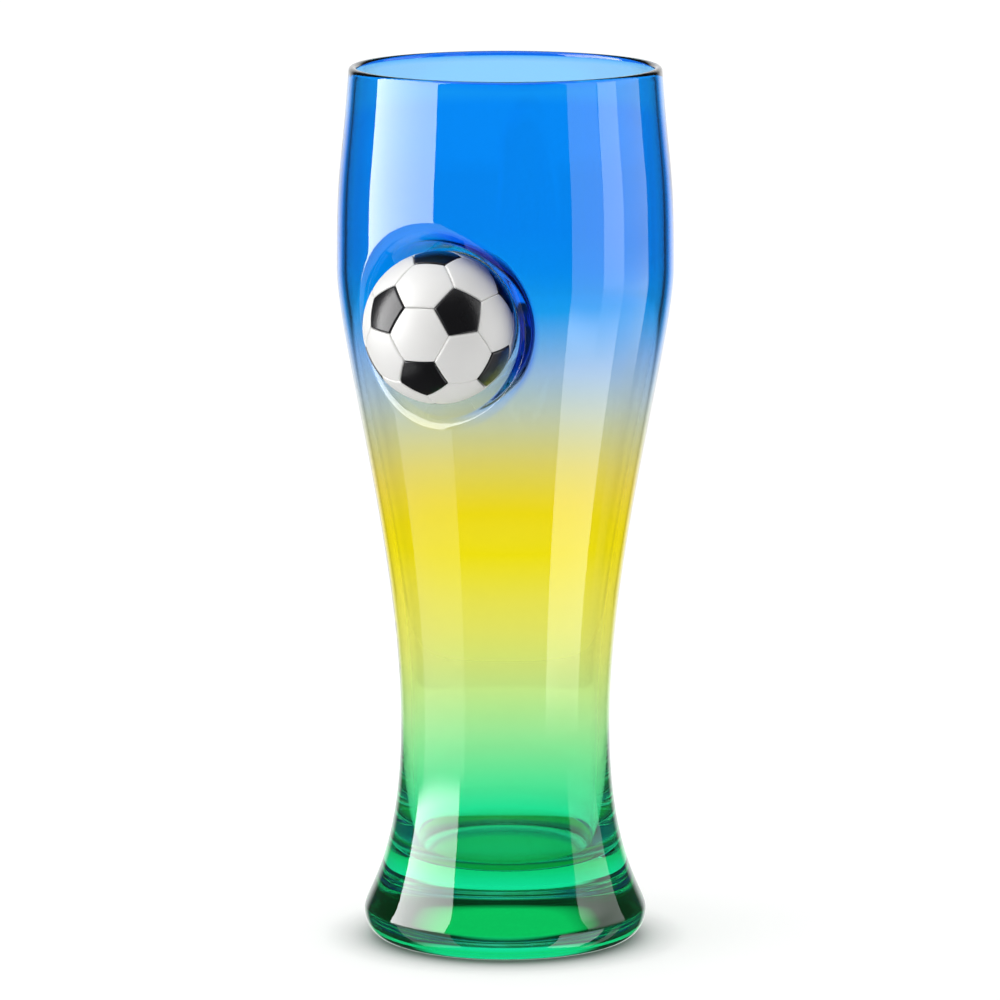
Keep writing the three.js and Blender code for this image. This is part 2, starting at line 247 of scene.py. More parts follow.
def wall_outline(sizes, depth, steps):
    """The wall from the waist to the lip. Depth is 0 outside the wall and 1 inside it."""
    waist = sizes.waist_radius - depth * sizes.waist_wall
    belly = sizes.belly_radius - depth * sizes.belly_wall
    rim = sizes.rim_radius - depth * sizes.rim_wall
    lip_height = sizes.height - sizes.rim_wall / 2
    belly_height = sizes.height - sizes.rim_to_belly
    rise = belly_height - sizes.waist_height
    shoulder = lip_height - belly_height
    reach = sizes.rim_ease * shoulder
    body = bend(
        (waist, sizes.waist_height),
        (waist, sizes.waist_height + sizes.waist_ease_above * rise),
        (belly, belly_height - sizes.belly_ease_below * rise),
        (belly, belly_height),
        steps,
    )
    top = bend(
        (belly, belly_height),
        (belly, belly_height + sizes.belly_ease_above * shoulder),
        (rim + reach * math.tan(sizes.rim_lean), lip_height - reach),
        (rim, lip_height),
        steps // 2,
    )
    return body + top[1:]


def glass_outline(sizes):
    """The whole section of the plain glass, from the middle of the base round to the middle of its floor."""
    rows = sizes.rows_per_curve
    foot_rise = sizes.waist_height - sizes.foot_edge_height
    well = sizes.waist_radius - sizes.waist_wall
    corner = sizes.floor_corner
    foot_edge = arc(
        (sizes.foot_radius - sizes.foot_edge_round, sizes.foot_edge_height),
        sizes.foot_edge_round, sizes.foot_edge_height, -90, 0, EDGE_STEPS,
    )
    foot_flare = bend(
        (sizes.foot_radius, sizes.foot_edge_height),
        (sizes.foot_radius, sizes.foot_edge_height + sizes.foot_ease * foot_rise),
        (sizes.waist_radius, sizes.waist_height - sizes.waist_ease_below * foot_rise),
        (sizes.waist_radius, sizes.waist_height),
        rows // 2,
    )
    half_wall = sizes.rim_wall / 2
    lip_middle = (sizes.rim_radius - half_wall, sizes.height - half_wall)
    lip = arc(lip_middle, half_wall, half_wall, 0, 180, EDGE_STEPS)
    corner_middle = (well - corner, sizes.floor_thickness + corner)
    floor_corner = arc(corner_middle, corner, corner, 0, -90, CORNER_STEPS)
    pieces = [
        [Vector((0, 0, 0))],
        foot_edge,
        foot_flare,
        wall_outline(sizes, 0, rows),
        lip,
        wall_outline(sizes, 1, rows)[::-1],
        floor_corner,
        [Vector((0, 0, sizes.floor_thickness))],
    ]
    outline = []
    for point in (point for piece in pieces for point in piece):
        if not outline or (point - outline[-1]).length > TINY:
            outline.append(point)
    return outline


# Pocket in the wall

class Pocket:
    """Where the wall goes when the pocket is pressed into it.

    Places are given beside the pocket's axis, which runs out of the glass through the ball's middle.
    """

    def __init__(self, sizes, pocket):
        self.sizes = sizes
        self.pocket = pocket
        self.skins = [self.skin(0), self.skin(1)]
        outside = self.skins[0]
        middle = np.array((math.hypot(BALL_MIDDLE.x, BALL_MIDDLE.y), BALL_MIDDLE.z))
        nearest = outside[np.argmin(np.hypot(*(outside - middle).T))]
        out = Vector((0, -1, 0)) * (nearest[0] - middle[0]) + Vector((0, 0, 1)) * (nearest[1] - middle[1])
        self.axis = out.normalized()
        self.side = Vector((1, 0, 0))
        self.up = self.side.cross(self.axis).normalized() * -1
        self.turn = np.array((self.side, self.up, self.axis))

    def skin(self, depth):
        """Radius and height of one face of the wall, closely spaced."""
        return np.array([(point.x, point.z) for point in wall_outline(self.sizes, depth, SKIN_STEPS)])

    def radius_at(self, height, skin):
        """Radius of one face of the wall at some heights."""
        return np.interp(height, self.skins[skin][:, 1], self.skins[skin][:, 0])

    def reach_of_wall(self, x, up, skin):
        """How far out along the axis one face of the undisturbed wall lies."""
        low, high = (np.full_like(x, bound) for bound in WALL_BOUNDS)
        for _ in range(HALVINGS):
            middle = (low + high) / 2
            place = self.to_world(np.stack((x, up, middle), 1))
            inside = np.hypot(place[:, 0], place[:, 1]) < self.radius_at(place[:, 2], skin)
            low = np.where(inside, middle, low)
            high = np.where(inside, high, middle)
        return low

    def to_world(self, local):
        return local @ self.turn + np.array(BALL_MIDDLE)

    def to_local(self, world):
        return (world - np.array(BALL_MIDDLE)) @ self.turn.T

    def section(self, toward, distance, skin):
        """New distances from the axis, and heights along it, of points at some distances.

        The section in each direction is the round seat, the cone of the sides, the round of the
        lip and the wall.
        """
        lip_round = self.pocket.bulge_round if skin else self.pocket.lip_round
        rising = np.maximum(toward[:, 1], 0) ** 2
        from_middle = np.minimum(distance / self.pocket.seat_radius, 1)
        thinning = np.where(toward[:, 1] > 0, self.pocket.thinning, self.pocket.low_thinning)
        thinning = thinning * toward[:, 1] ** 2 * from_middle ** 2 * (3 - 2 * from_middle)
        seat = self.pocket.seat_radius + skin * self.pocket.bulge_wall * (1 - thinning)
        lip_round = lip_round * (1 - self.pocket.side_tightness * toward[:, 0] ** 2)
        lip_round = lip_round * (1 + self.pocket.top_softness * rising)
        flare = self.pocket.flare + skin * self.pocket.bulge_flare * rising
        lean, rise = np.sin(flare), np.cos(flare)

        def wall(reach):
            return self.reach_of_wall(toward[:, 0] * reach, toward[:, 1] * reach, skin)

        # The round of the lip touches the cone on one side and the wall on the other.
        touch = seat / rise
        for _ in range(SETTLING_ROUNDS):
            level = wall(touch)
            slope = (wall(touch + SLOPE_STEP) - level) / SLOPE_STEP
            tilt = np.hypot(1, slope)
            under = level - lip_round * tilt - slope * touch
            lip_radius = (seat + lip_round + lean * under) / (rise - lean * slope)
            lip_height = under + slope * lip_radius
            touch = lip_radius - lip_round * slope / tilt
        cone_start = np.stack((seat * rise, -seat * lean), 1)
        cone_end = np.stack((lip_radius - lip_round * rise, lip_height + lip_round * lean), 1)
        lip_start = math.pi - flare
        lip_end = np.arctan2(1, -slope)

        # Rows crowd on the round of the lip, where the glass bends most.
        seat_run = seat * (math.pi / 2 - flare)
        cone_run = np.hypot(*(cone_end - cone_start).T)
        lip_run = LIP_CROWDING * lip_round * (lip_start - lip_end)
        wall_run = self.pocket.reach - touch
        stretch = seat_run + cone_run + lip_run + wall_run - self.pocket.reach
        part = distance / self.pocket.reach
        travel = distance + stretch * part * (2 - part)
        on_seat = -math.pi / 2 + travel / seat
        on_cone = ((travel - seat_run) / cone_run)[:, None]
        cone = cone_start + (cone_end - cone_start) * on_cone
        on_lip = lip_start + (lip_end - lip_start) * (travel - seat_run - cone_run) / lip_run
        on_wall = self.pocket.reach - (seat_run + cone_run + lip_run + wall_run - travel)
        stages = [
            travel < seat_run,
            travel < seat_run + cone_run,
            travel < seat_run + cone_run + lip_run,
        ]
        radii = [seat * np.cos(on_seat), cone[:, 0], lip_radius + lip_round * np.cos(on_lip)]
        heights = [seat * np.sin(on_seat), cone[:, 1], lip_height + lip_round * np.sin(on_lip)]
        radius = np.select(stages, radii, on_wall)
        return radius, np.select(stages, heights, wall(radius))

    def is_near(self, places):
        """Which places on the wall the pocket moves."""
        local = self.to_local(places)
        return (np.hypot(local[:, 0], local[:, 1]) < self.pocket.reach) & (local[:, 2] > -self.pocket.reach)

    def press(self, places, skin):
        """New places of points on one face of the wall."""
        near = self.is_near(places)
        local = self.to_local(places[near])
        distance = np.hypot(local[:, 0], local[:, 1])
        toward = local[:, :2] / np.maximum(distance, TINY)[:, None]
        radius, height = self.section(toward, distance, skin)
        moved = places.copy()
        moved[near] = self.to_world(np.column_stack((toward * radius[:, None], height)))
        return moved


# Making and finishing of pieces

def finish_piece(mesh, name, nodes, materials):
    """Turns a bmesh into an object that stands for some nodes of the frame."""
    data = bpy.data.meshes.new(name)
    mesh.to_mesh(data)
    mesh.free()
    piece = bpy.data.objects.new(name, data)
    bpy.context.scene.collection.objects.link(piece)
    for material in materials:
        data.materials.append(material)
    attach(piece, "root")
    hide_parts(*nodes)
    return piece


def turned(outline, sector_start, sectors):
    """An outline turned about +Z through sectors of an angle and a number of steps, closed all round."""
    mesh = bmesh.new()
    points = [mesh.verts.new(Matrix.Rotation(sector_start, 3, "Z") @ point) for point in outline]
    edges = [mesh.edges.new(pair) for pair in zip(points, points[1:])]
    last = points + edges
    for turn, steps in sectors:
        last = bmesh.ops.spin(
            mesh, geom=last, cent=(0, 0, 0), axis=(0, 0, 1), dvec=(0, 0, 0),
            angle=turn, steps=steps, use_merge=False, use_duplicate=False,
        )["geom_last"]
    bmesh.ops.remove_doubles(mesh, verts=mesh.verts, dist=SAME_PLACE)
    bmesh.ops.recalc_face_normals(mesh, faces=mesh.faces)
    for face in mesh.faces:
        face.smooth = True
    return mesh


# Materials

def new_material(name):
    """A material with a Principled shader, its nodes and its links."""
    material = bpy.data.materials.new(name)
    material.use_nodes = True
    return material, material.node_tree.nodes, material.node_tree.links


def new_group(name, inputs, outputs):
    """A shader node group with named sockets."""
    group = bpy.data.node_groups.new(name, "ShaderNodeTree")
    for direction, sockets in (("INPUT", inputs), ("OUTPUT", outputs)):
        for label, kind, default in sockets:
            socket = group.interface.new_socket(label, in_out=direction, socket_type=kind)
            if default is not None:
                socket.default_value = default
    entry = group.nodes.new("NodeGroupInput")
    leave = group.nodes.new("NodeGroupOutput")
    return group, entry, leave


def shared_group(name, build):
    """A node group by name, built the first time that a material asks for it."""
    return bpy.data.node_groups.get(name) or build(name)


def colour_mix(nodes, blend="MIX"):
    """A node that mixes two colours."""
    node = nodes.new("ShaderNodeMix")
    node.data_type = "RGBA"
    node.blend_type = blend
    return node


def vector_node(nodes, operation):
    """A node that measures or joins vectors."""
    node = nodes.new("ShaderNodeVectorMath")
    node.operation = operation
    return node


def joined(tree, operation, first, second):
    """Two values joined by an operation."""
    node = tree.nodes.new("ShaderNodeMath")
    node.operation = operation
    tree.links.new(first, node.inputs[0])
    tree.links.new(second, node.inputs[1])
    return node.outputs["Value"]


def fade_node(tree, value, source, target, shape="SMOOTHSTEP"):
    """A fade from one range of values to another."""
    fade = tree.nodes.new("ShaderNodeMapRange")
    fade.interpolation_type = shape
    for label, number in zip(("From Min", "From Max", "To Min", "To Max"), (*source, *target)):
        fade.inputs[label].default_value = number
    tree.links.new(value, fade.inputs["Value"])
    return fade.outputs["Result"]


def grain_node(nodes, mottle_size):
    """The shared grain and mottle, with the mottle at some size."""
    node = nodes.new("ShaderNodeGroup")
    node.node_tree = shared_group("grain_and_mottle", build_grain)
    node.inputs["Mottle size"].default_value = mottle_size
    return node


def clear_shader(nodes, index):
    """The material's shader, set to let light through."""
    shader = nodes["Principled BSDF"]
    shader.inputs["Transmission Weight"].default_value = 1
    shader.inputs["Roughness"].default_value = 0
    shader.inputs["IOR"].default_value = index
    return shader


def build_grain(name):
    """Fine pebbled grain as a height, and a soft mottle, on Object coordinates."""
    group, entry, leave = new_group(
        name,
        [("Grain size", "NodeSocketFloat", 900.0), ("Mottle size", "NodeSocketFloat", 60.0)],
        [("Height", "NodeSocketFloat", None), ("Mottle", "NodeSocketFloat", None)],
    )
    place = group.nodes.new("ShaderNodeTexCoord")
    grain = group.nodes.new("ShaderNodeTexNoise")
    grain.inputs["Detail"].default_value = 3
    mottle = group.nodes.new("ShaderNodeTexNoise")
    mottle.inputs["Detail"].default_value = 4
    for node, size in ((grain, "Grain size"), (mottle, "Mottle size")):
        group.links.new(place.outputs["Object"], node.inputs["Vector"])
        group.links.new(entry.outputs[size], node.inputs["Scale"])
    group.links.new(grain.outputs["Fac"], leave.inputs["Height"])
    group.links.new(mottle.outputs["Fac"], leave.inputs["Mottle"])
    return group


def build_tint(name):
    """Colour of the sprayed tint by height, with painted light under the lip on the far side and painted
    shade in the right of the pocket's lip.
    """
    scene = settings()
    tint = scene.glass_tint
    turn = scene.stage_settings.camera_turn
    group, _, leave = new_group(name, [], [("Tint", "NodeSocketColor", None)])
    nodes = group.nodes
    place = nodes.new("ShaderNodeTexCoord").outputs["Object"]
    split = nodes.new("ShaderNodeSeparateXYZ")
    ramp = nodes.new("ShaderNodeValToRGB")
    # Each colour stands at a share of the glass's height.
    stops = [
        (0.01, tint.sole), (0.03, tint.foot), (0.06, tint.foot), (0.105, tint.ankle),
        (0.26, tint.waist), (0.335, tint.lime), (0.41, tint.lemon), (0.465, tint.yellow),
        (0.525, tint.straw), (0.625, tint.haze), (0.68, tint.mist), (0.745, tint.sky),
        (0.79, tint.belly), (PAINTED_LIGHT_BAND_START, tint.belly), (0.955, tint.rim), (0.99, tint.rim),
        (0.996, tint.lip),
    ]
    ramp.color_ramp.interpolation = "LINEAR"
    while len(ramp.color_ramp.elements) < len(stops):
        ramp.color_ramp.elements.new(0.5)
    for element, (position, tone) in zip(ramp.color_ramp.elements, stops):
        element.position = position
        element.color = (*tone, 1)
    # Painted light: under the lip the tint turns paler on the far side only, where the back wall is seen lit
    # through the rim.
    far = vector_node(nodes, "DOT_PRODUCT")
    far.inputs[1].default_value = (-math.sin(turn), math.cos(turn), 0)
    group.links.new(place, split.inputs["Vector"])
    group.links.new(place, far.inputs[0])
    level = fade_node(group, split.outputs["Z"], (0, scene.glass_sizes.height), (0, 1), "LINEAR")
    lit_band_limit = fade_node(group, far.outputs["Value"], FAR_SIDE_PAINTED_LIGHT, (PAINTED_LIGHT_BAND_START, 1), "LINEAR")
    group.links.new(joined(group, "MINIMUM", level, lit_band_limit), ramp.inputs["Fac"])
    # Painted shade deepens the tint inside the right of the pocket's lip.
    pool_shaded = build_pool_shade(group, place, ramp.outputs["Color"])
    # The shader lets the root of its colour through each face, so the tint is squared.
    squared = colour_mix(nodes, "MULTIPLY")
    squared.inputs["Factor"].default_value = 1
    group.links.new(pool_shaded, squared.inputs["A"])
    group.links.new(pool_shaded, squared.inputs["B"])
    group.links.new(squared.outputs["Result"], leave.inputs["Tint"])
    return group


def build_pool_shade(group, place, tint):
    """The tint, deepened inside the right of the pocket's lip: partly spray that gathers there, partly
    painted shade for that side's darker look.
    """
    scene = settings()
    pocket = Pocket(scene.glass_sizes, scene.pocket_sizes)
    offset = vector_node(group.nodes, "SUBTRACT")
    offset.inputs[1].default_value = BALL_MIDDLE
    distance = vector_node(group.nodes, "LENGTH")
    right = vector_node(group.nodes, "DOT_PRODUCT")
    right.inputs[1].default_value = (pocket.side * 2 + pocket.up).normalized()
    pool = colour_mix(group.nodes, "MULTIPLY")
    pool.inputs["B"].default_value = (*scene.glass_tint.pool, 1)
    group.links.new(place, offset.inputs[0])
    group.links.new(offset.outputs["Vector"], distance.inputs[0])
    group.links.new(offset.outputs["Vector"], right.inputs[0])
    inside = fade_node(group, distance.outputs["Value"], POOL_SHADE_DEPTH, (1, 0))
    beside = fade_node(group, right.outputs["Value"], POOL_SHADE_SIDE, (0, 1))
    group.links.new(joined(group, "MULTIPLY", inside, beside), pool.inputs["Factor"])
    group.links.new(tint, pool.inputs["A"])
    return pool.outputs["Result"]


def tinted_outside():
    """Outside of the glass, with the sprayed tint."""
    material, nodes, links = new_material("tinted_outside")
    shader = clear_shader(nodes, GLASS_INDEX)
    tint = nodes.new("ShaderNodeGroup")
    tint.node_tree = shared_group("tint_by_height", build_tint)
    links.new(tint.outputs["Tint"], shader.inputs["Base Color"])
    return material


def clear_inside():
    """Inside of the glass, bare and fire polished."""
    material, nodes, links = new_material("clear_inside")
    shader = clear_shader(nodes, GLASS_INDEX)
    grain = grain_node(nodes, 40)
    tone = colour_mix(nodes)
    tone.inputs["A"].default_value = (1, 1, 1, 1)
    tone.inputs["B"].default_value = (0.97, 0.985, 0.98, 1)
    links.new(grain.outputs["Mottle"], tone.inputs["Factor"])
    links.new(tone.outputs["Result"], shader.inputs["Base Color"])
    return material


def adhesive_material():
    """Clear cured adhesive, a little cloudy."""
    material, nodes, links = new_material("clear_adhesive")
    shader = clear_shader(nodes, ADHESIVE_INDEX)
    grain = grain_node(nodes, 140)
    tone = colour_mix(nodes)
    tone.inputs["A"].default_value = (0.96, 0.97, 0.98, 1)
    tone.inputs["B"].default_value = (0.88, 0.90, 0.92, 1)
    cloud = fade_node(material.node_tree, grain.outputs["Mottle"], (0, 1), (0.05, 0.3), "LINEAR")
    links.new(grain.outputs["Mottle"], tone.inputs["Factor"])
    links.new(tone.outputs["Result"], shader.inputs["Base Color"])
    links.new(cloud, shader.inputs["Roughness"])
    return material


def ball_material(name, tone, shade, roughness, grain_size, grain_depth, shine):
    """A satin ball panel: its colour mottled towards a second tone, with a fine pebbled grain."""
    material, nodes, links = new_material(name)
    shader = nodes["Principled BSDF"]
    shader.inputs["IOR"].default_value = 1.5
    shader.inputs["Specular IOR Level"].default_value = shine
    grain = grain_node(nodes, 120)
    grain.inputs["Grain size"].default_value = grain_size
    mix = colour_mix(nodes)
    mix.inputs["A"].default_value = (*tone, 1)
    mix.inputs["B"].default_value = (*(part * shade for part in tone), 1)
    gloss_range = (roughness * 0.85, roughness * 1.2)
    gloss = fade_node(material.node_tree, grain.outputs["Mottle"], (0, 1), gloss_range, "LINEAR")
    bump = nodes.new("ShaderNodeBump")
    bump.inputs["Strength"].default_value = 0.35
    bump.inputs["Distance"].default_value = grain_depth
    links.new(grain.outputs["Mottle"], mix.inputs["Factor"])
    links.new(mix.outputs["Result"], shader.inputs["Base Color"])
    links.new(gloss, shader.inputs["Roughness"])
    links.new(grain.outputs["Height"], bump.inputs["Height"])
    links.new(bump.outputs["Normal"], shader.inputs["Normal"])
    return material


# Soft boxes that show as strips in the glass: name, distance from the glass in metres, the two
# upright edges in degrees round from the camera to the right, the strength at each, and in metres
# the heights where it begins, is full, starts to fade and ends.
SOFT_BOXES = (
    ("left_soft_box", 1, -105.5, -49.5, (11.5, 8), (-0.09, 0, 0.5, 2.2)),
    ("left_low_box", 1, -99, -45, (1.1, 1.1), (-1.4, -1.3, -0.1, -0.02)),
    ("right_soft_box", 1, 70, 112.5, (1.8, 1.8), (-0.15, 0.12, 0.25, 1.6)),
    ("right_fill", 0.1, 37.1, 57.8, (1.5, 1.5), (0.11, 0.13, 0.25, 0.3)),
    ("right_low_box", 1, 45, 87, (3, 3), (-1.4, -1.3, -0.31, -0.136)),
    ("right_low_edge", 1, 98, 110, (0.9, 0.9), (-1.4, -1.3, -0.5, -0.2)),
    ("right_near_box", 0.2, 64.6, 80.5, (2.2, 2.2), (0.068, 0.105, 0.22, 0.28)),
    ("right_near_edge", 0.2, 80.5, 106, (1.6, 2), (0.06, 0.1, 0.125, 0.155)),
)
# Blue panels beside the glass, given in the same way and seen only through the glass.
SIDE_PANELS = (
    ("left_panel", 0.25, -125, -55, (1, 1), (0.1, 0.16, 0.45, 0.6)),
    ("right_panel", 0.25, 55, 125, (1, 1), (0.1, 0.16, 0.45, 0.6)),
)
SIDE_PANEL_TONE = (0.01, 0.06, 0.4, 1)
# The light on the ball, given in the same way. The glass doesn't mirror it.
KEY_LIGHT = ("key_light", 1, -92, -48, (3.5, 3.5), (0.35, 0.36, 1.14, 1.15))


# Operators

class GLASS_OT_make_body(bpy.types.Operator):
    """Turn the tinted glass and press the ball's pocket into its wall"""

    bl_idname = "footed_glass.make_body"
    bl_label = "Make Glass"

    def execute(self, context):
        sizes = context.scene.glass_sizes
        pocket = Pocket(sizes, context.scene.pocket_sizes)
        facing = -math.pi / 2
        sectors = [
            (POCKET_SECTOR, sizes.pocket_steps),
            (2 * math.pi - POCKET_SECTOR, sizes.steps_around),
        ]
        mesh = turned(glass_outline(sizes), facing - POCKET_SECTOR / 2, sectors)
        near = pocket.is_near(np.array([vertex.co for vertex in mesh.verts]))
        mesh.verts.index_update()
        fine = [edge for edge in mesh.edges if all(near[vertex.index] for vertex in edge.verts)]
        bmesh.ops.subdivide_edges(mesh, edges=fine, cuts=1, use_grid_fill=True)
        places = np.array([vertex.co for vertex in mesh.verts])
        middle = (pocket.radius_at(places[:, 2], 0) + pocket.radius_at(places[:, 2], 1)) / 2
        inside = np.hypot(places[:, 0], places[:, 1]) < middle
        moved = np.where(inside[:, None], pocket.press(places, 1), pocket.press(places, 0))
        lip_start = sizes.height - sizes.rim_wall / 2 + TINY
        floor = sizes.floor_thickness - TINY
        for vertex, place, is_inside in zip(mesh.verts, moved, inside):
            vertex.co = place
            vertex.tag = bool(is_inside) and floor < vertex.co.z < lip_start
        for face in mesh.faces:
            face.smooth = True
            face.material_index = int(all(vertex.tag for vertex in face.verts))
        materials = [tinted_outside(), clear_inside()]
        finish_piece(mesh, "pressed_glass", ["glass_body"], materials)
        return {"FINISHED"}


class GLASS_OT_make_adhesive(bpy.types.Operator):
    """Turn the clear adhesive cap behind the ball"""

    bl_idname = "footed_glass.make_adhesive"
    bl_label = "Make Adhesive"

    def execute(self, context):
        pocket = context.scene.pocket_sizes
        edge = math.degrees(pocket.bond_reach) - 90
        outline = arc((0, 0), pocket.bond_outside, pocket.bond_outside, -90, edge, BOND_ROWS)
        outline += arc((0, 0), pocket.bond_inside, pocket.bond_inside, edge, -90, BOND_ROWS)
        mesh = turned(outline, 0, [(2 * math.pi, BOND_STEPS)])
        axis = Pocket(context.scene.glass_sizes, pocket).axis
        turn = Vector((0, 0, 1)).rotation_difference(axis).to_matrix().to_4x4()
        bmesh.ops.transform(mesh, matrix=Matrix.Translation(BALL_MIDDLE) @ turn, verts=mesh.verts)
        materials = [adhesive_material()]
        finish_piece(mesh, "adhesive_bed", ["ball_adhesive"], materials)
        return {"FINISHED"}


def panel_frame(node, radius):
    """A panel's number of sides, its flat back's distance, and the turn from +Z to its axis."""
    data = bpy.data.objects[node].data
    places = {tuple(round(value, 6) for value in vertex.co) for vertex in data.vertices}
    corners = [Vector(place) - BALL_MIDDLE for place in sorted(places)]
    corners = [corner for corner in corners if corner.length < PANEL_BACK * radius]
    middle = sum(corners, Vector()) / len(corners)
    corners = [corner for corner in corners if (corner - middle).length > MM]
    axis = middle.normalized()
    up = (corners[0] - middle).normalized()
    turn = Matrix((up.cross(axis), up, axis)).transposed()
    return len(corners), middle.length, turn


def make_panel(node, ball, edge_round):
    """A ball panel with a round face, soft edges, straight sides and a flat back."""
    sides, back, turn = panel_frame(node, ball.radius)
    corner = math.asin(0.5 / math.sin(math.pi / sides) / CORNER_REACH)
    spread = math.tan(corner)
    inset = ball.seam / 2 / ball.radius / math.cos(math.pi / sides)
    mesh = bmesh.new()
    bmesh.ops.create_circle(mesh, cap_ends=True, segments=sides, radius=spread - inset)
    first = next(iter(mesh.verts)).co
    to_up = Matrix.Rotation(math.pi / 2 - math.atan2(first.y, first.x), 3, "Z")
    bmesh.ops.rotate(mesh, cent=(0, 0, 0), matrix=to_up, verts=mesh.verts)
    bmesh.ops.poke(mesh, faces=mesh.faces)
    bmesh.ops.subdivide_edges(mesh, edges=mesh.edges, cuts=ball.rows - 1, use_grid_fill=True)
    rim = [edge for edge in mesh.edges if edge.is_boundary]
    apothem = (spread - inset) * math.cos(math.pi / sides)
    facing = [math.pi / 2 + (2 * i + 1) * math.pi / sides for i in range(sides)]
    normals = [Vector((math.cos(turn_by), math.sin(turn_by), 0)) for turn_by in facing]
    skirt = bmesh.ops.extrude_edge_only(mesh, edges=rim)["geom"]
    skirt = [item for item in skirt if isinstance(item, bmesh.types.BMVert)]
    for vertex in skirt:
        vertex.co = Vector((vertex.co.x, vertex.co.y, 1)) * back
    hidden = set(skirt)
    for vertex in mesh.verts:
        if vertex in hidden:
            continue
        flat = vertex.co.copy()
        gauge = max(flat.dot(normal) for normal in normals) / apothem
        # Rows crowd towards the edge, where the panel rounds over.
        tight = 1 - (1 - min(gauge, 1)) ** PANEL_CROWDING
        if gauge > TINY:
            flat *= tight / gauge
        to_edge = (1 - tight) * apothem * ball.radius
        drop = 0.0
        if to_edge < edge_round:
            drop = edge_round - math.sqrt(edge_round ** 2 - (edge_round - to_edge) ** 2)
        vertex.co = Vector((flat.x, flat.y, 1)).normalized() * (ball.radius - drop)
    hole = [edge for edge in mesh.edges if edge.is_boundary]
    bmesh.ops.holes_fill(mesh, edges=hole, sides=0)
    bmesh.ops.recalc_face_normals(mesh, faces=mesh.faces)
    # The flat back is one face with many sides, and the only one that isn't smooth.
    for face in mesh.faces:
        face.smooth = len(face.verts) < 5
    placing = Matrix.Translation(BALL_MIDDLE) @ turn.to_4x4()
    bmesh.ops.transform(mesh, matrix=placing, verts=mesh.verts)
    return mesh


def make_panels(context, kind, number, edge_round, material):
    """All the panels of one colour, each in the place of its node."""
    ball = context.scene.ball_sizes
    for i in range(1, number + 1):
        node = f"{kind}_panel_{i:02d}"
        mesh = make_panel(node, ball, edge_round)
        finish_piece(mesh, f"{kind}_patch_{i:02d}", [node], [material])


class GLASS_OT_make_black_panels(bpy.types.Operator):
    """Make the 12 black five-sided panels of the ball"""

    bl_idname = "footed_glass.make_black_panels"
    bl_label = "Make Black Panels"

    def execute(self, context):
        tone = context.scene.ball_colours.black
        material = ball_material(
            "black_panel_finish", tone, shade=2.2, roughness=0.22, grain_size=1500,
            grain_depth=0.12 * MM, shine=0.35,
        )
        edge_round = context.scene.ball_sizes.black_round
        make_panels(context, "black", BLACK_PANELS, edge_round, material)
        return {"FINISHED"}


class GLASS_OT_make_white_panels(bpy.types.Operator):
    """Make the 20 white six-sided panels of the ball"""

    bl_idname = "footed_glass.make_white_panels"
    bl_label = "Make White Panels"

    def execute(self, context):
        tone = context.scene.ball_colours.white
        material = ball_material(
            "white_panel_finish", tone, shade=0.95, roughness=0.45, grain_size=1100,
            grain_depth=0.03 * MM, shine=0.4,
        )
        edge_round = context.scene.ball_sizes.white_round
        make_panels(context, "white", WHITE_PANELS, edge_round, material)
        return {"FINISHED"}


class GLASS_OT_finish_core(bpy.types.Operator):
    """Give the ball's core, seen down the seams, its moulded finish"""

    bl_idname = "footed_glass.finish_core"
    bl_label = "Finish Core"

    def execute(self, context):
        tone = context.scene.ball_colours.core
        material = ball_material(
            "core_finish", tone, shade=0.7, roughness=0.6, grain_size=700,
            grain_depth=0.1 * MM, shine=0.3,
        )
        core = bpy.data.objects["ball_core"]
        if core.material_slots:
            for slot in core.material_slots:
                slot.material = material
        else:
            core.data.materials.append(material)
        return {"FINISHED"}


def add_light(camera_turn, name, distance, start, end, strengths, heights):
    """An upright soft box, given as the table of soft boxes says, that the camera doesn't see."""
    low, full_from, full_to, high = heights
    data = bpy.data.lights.new(name, "AREA")
    data.shape = "RECTANGLE"
    data.size = 2 * distance * math.tan(math.radians(end - start) / 2)
    data.size_y = high - low
    # With this power the strength is the brightness that the glass sees.
    data.energy = math.pi * data.size * data.size_y
    data.use_nodes = True
    tree = data.node_tree
    place = tree.nodes.new("ShaderNodeNewGeometry")
    split = tree.nodes.new("ShaderNodeSeparateXYZ")
    tree.links.new(place.outputs["Parametric"], split.inputs["Vector"])
    across = fade_node(tree, split.outputs["X"], (0, 1), strengths)
    rise = fade_node(tree, split.outputs["Y"], (0, (full_from - low) / data.size_y), (0, 1))
    fall = fade_node(tree, split.outputs["Y"], ((full_to - low) / data.size_y, 1), (1, 0))
    upright = joined(tree, "MULTIPLY", rise, fall)
    strength = joined(tree, "MULTIPLY", across, upright)
    tree.links.new(strength, tree.nodes["Emission"].inputs["Strength"])
    light = bpy.data.objects.new(name, data)
    turn = camera_turn + math.radians(start + end) / 2
    light.location = (distance * math.sin(turn), -distance * math.cos(turn), (low + high) / 2)
    light.rotation_euler = (math.pi / 2, 0, turn)
    light.visible_camera = False
    light.visible_transmission = False
    bpy.context.scene.collection.objects.link(light)
    return light


